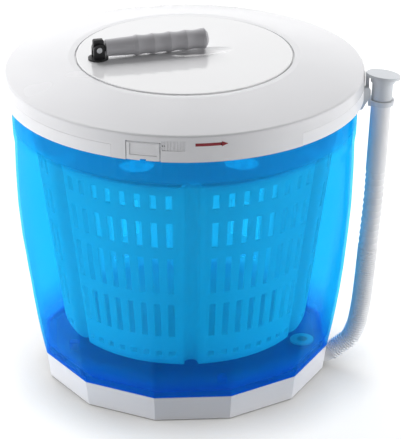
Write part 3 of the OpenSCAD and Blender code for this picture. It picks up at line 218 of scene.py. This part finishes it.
def feed(tree, value, socket):
    """Link another node's output to an input, or give the input a plain value."""
    if isinstance(value, bpy.types.NodeSocket):
        tree.links.new(value, socket)
    else:
        socket.default_value = value


def shaded(tree, kind, inputs):
    """A new shader node with its inputs fed by name."""
    node = tree.nodes.new(kind)
    for name, value in inputs.items():
        feed(tree, value, node.inputs[name])
    return node.outputs[0]


def maths(tree, operation, *values):
    node = tree.nodes.new("ShaderNodeMath")
    node.operation = operation
    for value, socket in zip(values, node.inputs):
        feed(tree, value, socket)
    return node.outputs["Value"]


def spread(tree, source, old, new):
    """The source's value, with the old range carried over to the new one and held inside it."""
    node = tree.nodes.new("ShaderNodeMapRange")
    for name, value in zip(("From Min", "From Max", "To Min", "To Max"), (*old, *new)):
        node.inputs[name].default_value = value
    tree.links.new(source, node.inputs["Value"])
    return node.outputs["Result"]


def mixed(tree, share, first, second):
    """Two shaders, with the second one's share."""
    node = tree.nodes.new("ShaderNodeMixShader")
    feed(tree, share, node.inputs["Fac"])
    tree.links.new(first, node.inputs[1])
    tree.links.new(second, node.inputs[2])
    return node.outputs["Shader"]


def mixed_colour(tree, share, first, second):
    """Two colours, with the second one's share."""
    node = tree.nodes.new("ShaderNodeMix")
    node.data_type = "RGBA"
    feed(tree, share, node.inputs["Factor"])
    feed(tree, first, node.inputs["A"])
    feed(tree, second, node.inputs["B"])
    return node.outputs["Result"]


def coordinate(tree, kind, axis):
    """One axis of the object's own or the generated coordinates."""
    place = tree.nodes.new("ShaderNodeTexCoord")
    split = tree.nodes.new("ShaderNodeSeparateXYZ")
    tree.links.new(place.outputs[kind], split.inputs["Vector"])
    return split.outputs[axis]


def noise(tree, scale, detail, stretch=(1, 1, 1)):
    """Noise in object space, with its scale per metre."""
    place = tree.nodes.new("ShaderNodeTexCoord")
    warp = tree.nodes.new("ShaderNodeMapping")
    warp.inputs["Scale"].default_value = stretch
    tree.links.new(place.outputs["Object"], warp.inputs["Vector"])
    node = tree.nodes.new("ShaderNodeTexNoise")
    node.inputs["Scale"].default_value = scale
    node.inputs["Detail"].default_value = detail
    tree.links.new(warp.outputs["Vector"], node.inputs["Vector"])
    return node.outputs["Fac"]


# Range in which noise lies nearly everywhere
NOISE_RANGE = (0.3, 0.7)
BEVEL_SAMPLES = 4


def bump(tree, height, distance, painted_shadow_glow, round_edge):
    """Normal of a rough surface, with its edges softened by a radius unless that is 0."""
    node = tree.nodes.new("ShaderNodeBump")
    node.inputs["Distance"].default_value = distance
    node.inputs["Strength"].default_value = painted_shadow_glow
    tree.links.new(height, node.inputs["Height"])
    if round_edge:
        bevel = tree.nodes.new("ShaderNodeBevel")
        bevel.samples = BEVEL_SAMPLES
        bevel.inputs["Radius"].default_value = round_edge
        tree.links.new(bevel.outputs["Normal"], node.inputs["Normal"])
    return node.outputs["Normal"]


def tint(tree, source, dark, light):
    """Colour between two, by the value of a noise."""
    ramp = tree.nodes.new("ShaderNodeValToRGB")
    for end, position, colour in zip(ramp.color_ramp.elements, NOISE_RANGE, (dark, light)):
        end.position = position
        end.color = (*colour, 1)
    tree.links.new(source, ramp.inputs["Fac"])
    return ramp.outputs["Color"]


# Materials, with scales of noise per metre, and depths and radii in metres
MOTTLE_SCALE = 9
NOISE_DETAIL = 2
GRAIN_STRENGTH = 0.3
COAT_ROUGH = 0.08


def plastic(name, dark, light, rough, grain=900, depth=0.00002, edge=0.0004, coat=0.0):
    """Moulded plastic: slight mottling, fine surface grain and softly rounded edges."""
    mat, tree, surface = material(name)
    mottle = noise(tree, MOTTLE_SCALE, NOISE_DETAIL)
    fine = noise(tree, grain, NOISE_DETAIL)
    tree.links.new(shaded(tree, "ShaderNodeBsdfPrincipled", {
        "Base Color": tint(tree, mottle, dark, light),
        "Roughness": spread(tree, mottle, NOISE_RANGE, rough),
        "Normal": bump(tree, fine, depth, GRAIN_STRENGTH, edge),
        "Coat Weight": coat,
        "Coat Roughness": COAT_ROUGH,
    }), surface)
    return mat


STEEL_DARK = (0.55, 0.56, 0.58)
STEEL_LIGHT = (0.72, 0.73, 0.75)
STEEL_ROUGH = (0.18, 0.34)
STEEL_EDGE = 0.0002
BRUSH_SCALE = 700
BRUSH_DETAIL = 3
BRUSH_STRETCH = (1, 1, 0.08)
BRUSH_DEPTH = 0.00001


def steel(name):
    """Bright steel with marks drawn out along Z."""
    mat, tree, surface = material(name)
    brushed = noise(tree, BRUSH_SCALE, BRUSH_DETAIL, BRUSH_STRETCH)
    tree.links.new(shaded(tree, "ShaderNodeBsdfPrincipled", {
        "Metallic": 1.0,
        "Base Color": tint(tree, brushed, STEEL_DARK, STEEL_LIGHT),
        "Roughness": spread(tree, brushed, NOISE_RANGE, STEEL_ROUGH),
        "Normal": bump(tree, brushed, BRUSH_DEPTH, GRAIN_STRENGTH, STEEL_EDGE),
    }), surface)
    return mat


# Share of the light that the tub's skin mirrors face on, and how much is added at a glance
MIRROR_FACE_ON = 0.04
MIRROR_GLANCE = 0.28
MIRROR_POWER = 5.0
SKIN_COLOUR = (0.28, 0.74, 1.0, 1)
SKIN_ROUGH = (0.08, 0.14)
# Light that one face of the tub's wall lets through, below and in its thicker upper band
WALL_TINT = (0.3, 0.86, 0.994, 1)
BAND_TINT = (0.15, 0.79, 0.985, 1)
# Heights over which the band begins, and over which the foot begins
BAND_EDGE = (0.264, 0.271)
FOOT_EDGE = (0.06, 0.035)
# Share of the light that the wall scatters, and how much more its upper band and its foot do
WALL_HAZE = 0.08
BAND_HAZE = 0.3
FOOT_HAZE = 0.32
# Colours of that haze, and the share of it that faces the light
HAZE_DARK = (0.0, 0.47, 0.97)
HAZE_LIGHT = (0.0, 0.53, 1.0)
FOOT_BLUE = (0.0, 0.2, 1.0, 1)
HAZE_FRONT = 0.6
TUB_MOTTLE_SCALE = 7
TUB_GRAIN_SCALE = 500
TUB_GRAIN_DEPTH = 0.00003
TUB_GRAIN_STRENGTH = 0.2
TUB_EDGE = 0.0006


def mirror_share(tree, normal):
    """Share of the light that the tub's skin mirrors, more at a glance than face on."""
    weight = tree.nodes.new("ShaderNodeLayerWeight")
    tree.links.new(normal, weight.inputs["Normal"])
    turned_away = maths(tree, "POWER", weight.outputs["Facing"], MIRROR_POWER)
    return maths(tree, "MULTIPLY_ADD", turned_away, MIRROR_GLANCE, MIRROR_FACE_ON)


def clear_blue(name):
    """Clear plastic with a blue dye in it, a glossy skin and a faint haze."""
    mat, tree, surface = material(name)
    height = coordinate(tree, "Object", "Z")
    in_band = spread(tree, height, BAND_EDGE, (0, 1))
    at_foot = spread(tree, height, FOOT_EDGE, (0, 1))
    through = shaded(tree, "ShaderNodeBsdfTransparent",
                     {"Color": mixed_colour(tree, in_band, WALL_TINT, BAND_TINT)})
    mottle = noise(tree, TUB_MOTTLE_SCALE, NOISE_DETAIL)
    fine = noise(tree, TUB_GRAIN_SCALE, NOISE_DETAIL)
    normal = bump(tree, fine, TUB_GRAIN_DEPTH, TUB_GRAIN_STRENGTH, TUB_EDGE)
    blue = mixed_colour(tree, at_foot, tint(tree, mottle, HAZE_DARK, HAZE_LIGHT), FOOT_BLUE)
    haze = mixed(tree, HAZE_FRONT, shaded(tree, "ShaderNodeBsdfTranslucent", {"Color": blue}),
                 shaded(tree, "ShaderNodeBsdfDiffuse", {"Color": blue}))
    upper_share = maths(tree, "MULTIPLY_ADD", in_band, BAND_HAZE, WALL_HAZE)
    haze_share = maths(tree, "MULTIPLY_ADD", at_foot, FOOT_HAZE, upper_share)
    skin = shaded(tree, "ShaderNodeBsdfGlossy", {
        "Color": SKIN_COLOUR,
        "Roughness": spread(tree, mottle, NOISE_RANGE, SKIN_ROUGH),
        "Normal": normal,
    })
    body = mixed(tree, haze_share, through, haze)
    tree.links.new(mixed(tree, mirror_share(tree, normal), body, skin), surface)
    return mat


BASKET_GRAIN_SCALE = 700
BASKET_GRAIN_DEPTH = 0.00003
BASKET_EDGE = 0.0006


def lit_through(name, dark, light, share, rough):
    """Thin plastic that scatters a share of the light to its far side."""
    mat, tree, surface = material(name)
    mottle = noise(tree, MOTTLE_SCALE, NOISE_DETAIL)
    fine = noise(tree, BASKET_GRAIN_SCALE, NOISE_DETAIL)
    colour = tint(tree, mottle, dark, light)
    near = shaded(tree, "ShaderNodeBsdfPrincipled", {
        "Base Color": colour,
        "Roughness": spread(tree, mottle, NOISE_RANGE, rough),
        "Normal": bump(tree, fine, BASKET_GRAIN_DEPTH, GRAIN_STRENGTH, BASKET_EDGE),
    })
    far = shaded(tree, "ShaderNodeBsdfTranslucent", {"Color": colour})
    tree.links.new(mixed(tree, share, near, far), surface)
    return mat


LID_WHITE = plastic("lid_white", (0.81, 0.81, 0.83), (0.84, 0.84, 0.86), (0.2, 0.28), coat=0.3)
BASE_WHITE = plastic("base_white", (0.84, 0.84, 0.86), (0.88, 0.88, 0.9), (0.3, 0.4))
DISC_WHITE = plastic("disc_white", (0.91, 0.91, 0.92), (0.93, 0.93, 0.94), (0.08, 0.12), coat=1.0)
TUB_BLUE = clear_blue("tub_blue")
BASKET_PALE = lit_through("basket_pale", (0.92, 0.95, 0.97), (0.96, 0.98, 0.99), 0.5, (0.35, 0.45))
HOSE_WHITE = plastic("hose_white", (0.82, 0.82, 0.83), (0.87, 0.87, 0.88), (0.35, 0.5), edge=0.0003)
CLIP_GREY = plastic("clip_grey", (0.62, 0.65, 0.68), (0.7, 0.72, 0.75), (0.35, 0.45))
GRIP_GREY = plastic("grip_grey", (0.42, 0.415, 0.435), (0.47, 0.465, 0.485), (0.35, 0.5),
                    grain=1200, depth=0.00004)
BLACK = plastic("hinge_black", (0.012, 0.012, 0.014), (0.02, 0.02, 0.022), (0.3, 0.4))
GEAR_WHITE = plastic("gear_white", (0.78, 0.78, 0.75), (0.84, 0.84, 0.8), (0.35, 0.45))
RUBBER = plastic("foot_rubber", (0.02, 0.02, 0.022), (0.035, 0.035, 0.037), (0.7, 0.85),
                 grain=1600, depth=0.00006)
STEEL = steel("bright_steel")
ARROW_RED = plastic("arrow_red", (0.28, 0.02, 0.03), (0.34, 0.03, 0.04), (0.4, 0.5), edge=0)

NODE_MATERIALS = {
    LID_WHITE: ["lid_shell", "front_latch", "rear_latch"],
    BASE_WHITE: ["base_plinth", "rim_ring"],
    DISC_WHITE: ["crank_disc"],
    TUB_BLUE: ["tub"],
    BASKET_PALE: ["basket"],
    HOSE_WHITE: ["hose", "hose_neck", "drain_elbow"],
    CLIP_GREY: ["hose_clip", "clip_bracket", "hose_cap"],
    GRIP_GREY: ["grip_sleeve", "grip_end_cap"],
    BLACK: ["crank_bracket", "handle_shaft"],
    GEAR_WHITE: ["gear_plate", "ring_gear", "planet_gear_1", "planet_gear_2", "planet_gear_3",
                 "sun_gear", "drive_plate", "basket_bush"],
    RUBBER: ["feet", "spindle_washer"],
    STEEL: ["base_screws", "spindle", "spindle_nut", "lid_screws", "planet_pins", "latch_pins",
            "gear_screws", "bracket_screws", "fold_pin", "grip_screw", "drive_screw"],
}


def dress(obj, mat):
    """Give all of an object's slots one material."""
    if not obj.material_slots:
        obj.data.materials.append(mat)
    for place in obj.material_slots:
        place.material = mat


for node_material, names in NODE_MATERIALS.items():
    for node_name in names:
        dress(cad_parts[node_name], node_material)
dress(hose, HOSE_WHITE)


# Arrow printed on the lid's upright wall: degrees around the wall, and half heights in mm
LID_R = 178.0
ARROW_LIFT = 0.12
ARROW_Z = 312.3
ARROW_FROM = 270.3
ARROW_TO = 280.3
HEAD_LENGTH = 2.0
SHAFT_STEPS = 12
SHAFT_HALF = 1.5
HEAD_HALF = 2.6
TIP_HALF = 0.05


def make_arrow():
    """Flat arrow that follows the wall, with its shaft and its head."""
    r = (LID_R + ARROW_LIFT) * MM
    shaft = ARROW_TO - ARROW_FROM - HEAD_LENGTH
    columns = [(shaft * k / SHAFT_STEPS, SHAFT_HALF) for k in range(SHAFT_STEPS + 1)]
    columns += [(shaft, HEAD_HALF), (shaft + HEAD_LENGTH / 2, HEAD_HALF / 2),
                (shaft + HEAD_LENGTH, TIP_HALF)]
    points = []
    for along, half in columns:
        a = math.radians(ARROW_FROM + along)
        points += [(r * math.cos(a), r * math.sin(a), (ARROW_Z + side) * MM)
                   for side in (-half, half)]
    faces = [(2 * k, 2 * k + 2, 2 * k + 3, 2 * k + 1) for k in range(len(columns) - 1)]
    return mesh_object("turn_arrow", points, faces, "lid_body")


dress(make_arrow(), ARROW_RED)


# Floor, which the camera sees as white paper: an even glow with a painted soft shadow close to the
# machine, where ambient occlusion dims the glow, over a grey that takes real light and shadow
FLOOR_HALF = 6.0
SHADOW_REACH = 0.07
FLOOR_GLOW = 0.84
FLOOR_SHADE = (0.34, 0.335, 0.325, 1)
FLOOR_MATT = (0.82, 0.82, 0.82, 1)


def ray_kinds(tree):
    """Whether a ray comes from the camera or through a clear surface, and whether it is mirrored."""
    kinds = tree.nodes.new("ShaderNodeLightPath").outputs
    direct = maths(tree, "MAXIMUM", kinds["Is Camera Ray"], kinds["Is Transmission Ray"])
    return direct, kinds["Is Glossy Ray"]


def add_floor():
    mesh = bpy.data.meshes.new("floor")
    corners = [(-1, -1), (1, -1), (1, 1), (-1, 1)]
    mesh.from_pydata([(x * FLOOR_HALF, y * FLOOR_HALF, 0) for x, y in corners], [], [(0, 1, 2, 3)])
    floor = link_object("floor", mesh)
    mat, tree, surface = material("floor_pale")
    # Painted shadow: ambient occlusion within the shadow's reach dims the paper's glow near the
    # machine
    painted_shadow_ao = tree.nodes.new("ShaderNodeAmbientOcclusion")
    painted_shadow_ao.inputs["Distance"].default_value = SHADOW_REACH
    painted_shadow_glow = maths(tree, "MULTIPLY", painted_shadow_ao.outputs["AO"], FLOOR_GLOW)
    paper = tree.nodes.new("ShaderNodeAddShader")
    tree.links.new(shaded(tree, "ShaderNodeEmission", {"Strength": painted_shadow_glow}), paper.inputs[0])
    tree.links.new(shaded(tree, "ShaderNodeBsdfDiffuse", {"Color": FLOOR_SHADE}), paper.inputs[1])
    matt = shaded(tree, "ShaderNodeBsdfDiffuse", {"Color": FLOOR_MATT})
    direct, _ = ray_kinds(tree)
    tree.links.new(mixed(tree, direct, matt, paper.outputs["Shader"]), surface)
    floor.data.materials.append(mat)


# What glossy surfaces mirror: a dark room in front of the machine, white to its sides and behind it
ROOM_DARK = 0.1
ROOM_LIGHT = 1.0
ROOM_FADE_Y = (-0.85, -0.4)
WHITE = (1, 1, 1, 1)
SKY_COLOUR = (0.98, 0.985, 1, 1)
SKY_STRENGTH = 0.25


def add_world():
    """White where it is seen, the room where it is mirrored, and a faint sky as light."""
    world = bpy.data.worlds.new("studio")
    world.use_nodes = True
    bpy.context.scene.world = world
    tree = world.node_tree
    tree.nodes.clear()
    out = tree.nodes.new("ShaderNodeOutputWorld")
    direct, mirrored = ray_kinds(tree)
    room = spread(tree, coordinate(tree, "Generated", "Y"), ROOM_FADE_Y, (ROOM_DARK, ROOM_LIGHT))
    seen = shaded(tree, "ShaderNodeBackground",
                  {"Color": WHITE, "Strength": maths(tree, "MAXIMUM", direct, room)})
    sky = shaded(tree, "ShaderNodeBackground", {"Color": SKY_COLOUR, "Strength": SKY_STRENGTH})
    shown = maths(tree, "MAXIMUM", direct, mirrored)
    tree.links.new(mixed(tree, shown, sky, seen), out.inputs["Surface"])


# Area lamps: where each one stands, what it aims at, its width and height, and its watts
LAMPS = {
    "top_back": ((-0.4, 1.7, 1.8), (0, 0, 0.25), (2.2, 1.4), 62),
    "back": ((0.0, 2.4, 0.25), (0, 0, 0.18), (3.0, 0.5), 48),
    "left": ((-2.15, -0.1, 0.25), (0, 0, 0.12), (1.4, 0.6), 28),
    "right": ((2.15, -0.2, 0.25), (0, 0, 0.12), (1.4, 0.6), 27),
    "front": ((0.0, -2.4, 0.1), (0, 0, 0.05), (2.4, 0.3), 3.5),
}


def add_lamp(name, at, aim, size, power):
    """An area lamp that glossy surfaces don't mirror."""
    data = bpy.data.lights.new(name, "AREA")
    data.shape = "RECTANGLE"
    data.size, data.size_y = size
    data.energy = power
    lamp = link_object(name, data)
    lamp.visible_glossy = False
    look_from(lamp, at, aim)


add_floor()
add_world()
for lamp_name, settings in LAMPS.items():
    add_lamp(lamp_name, *settings)

bpy.context.scene.view_settings.view_transform = "Standard"
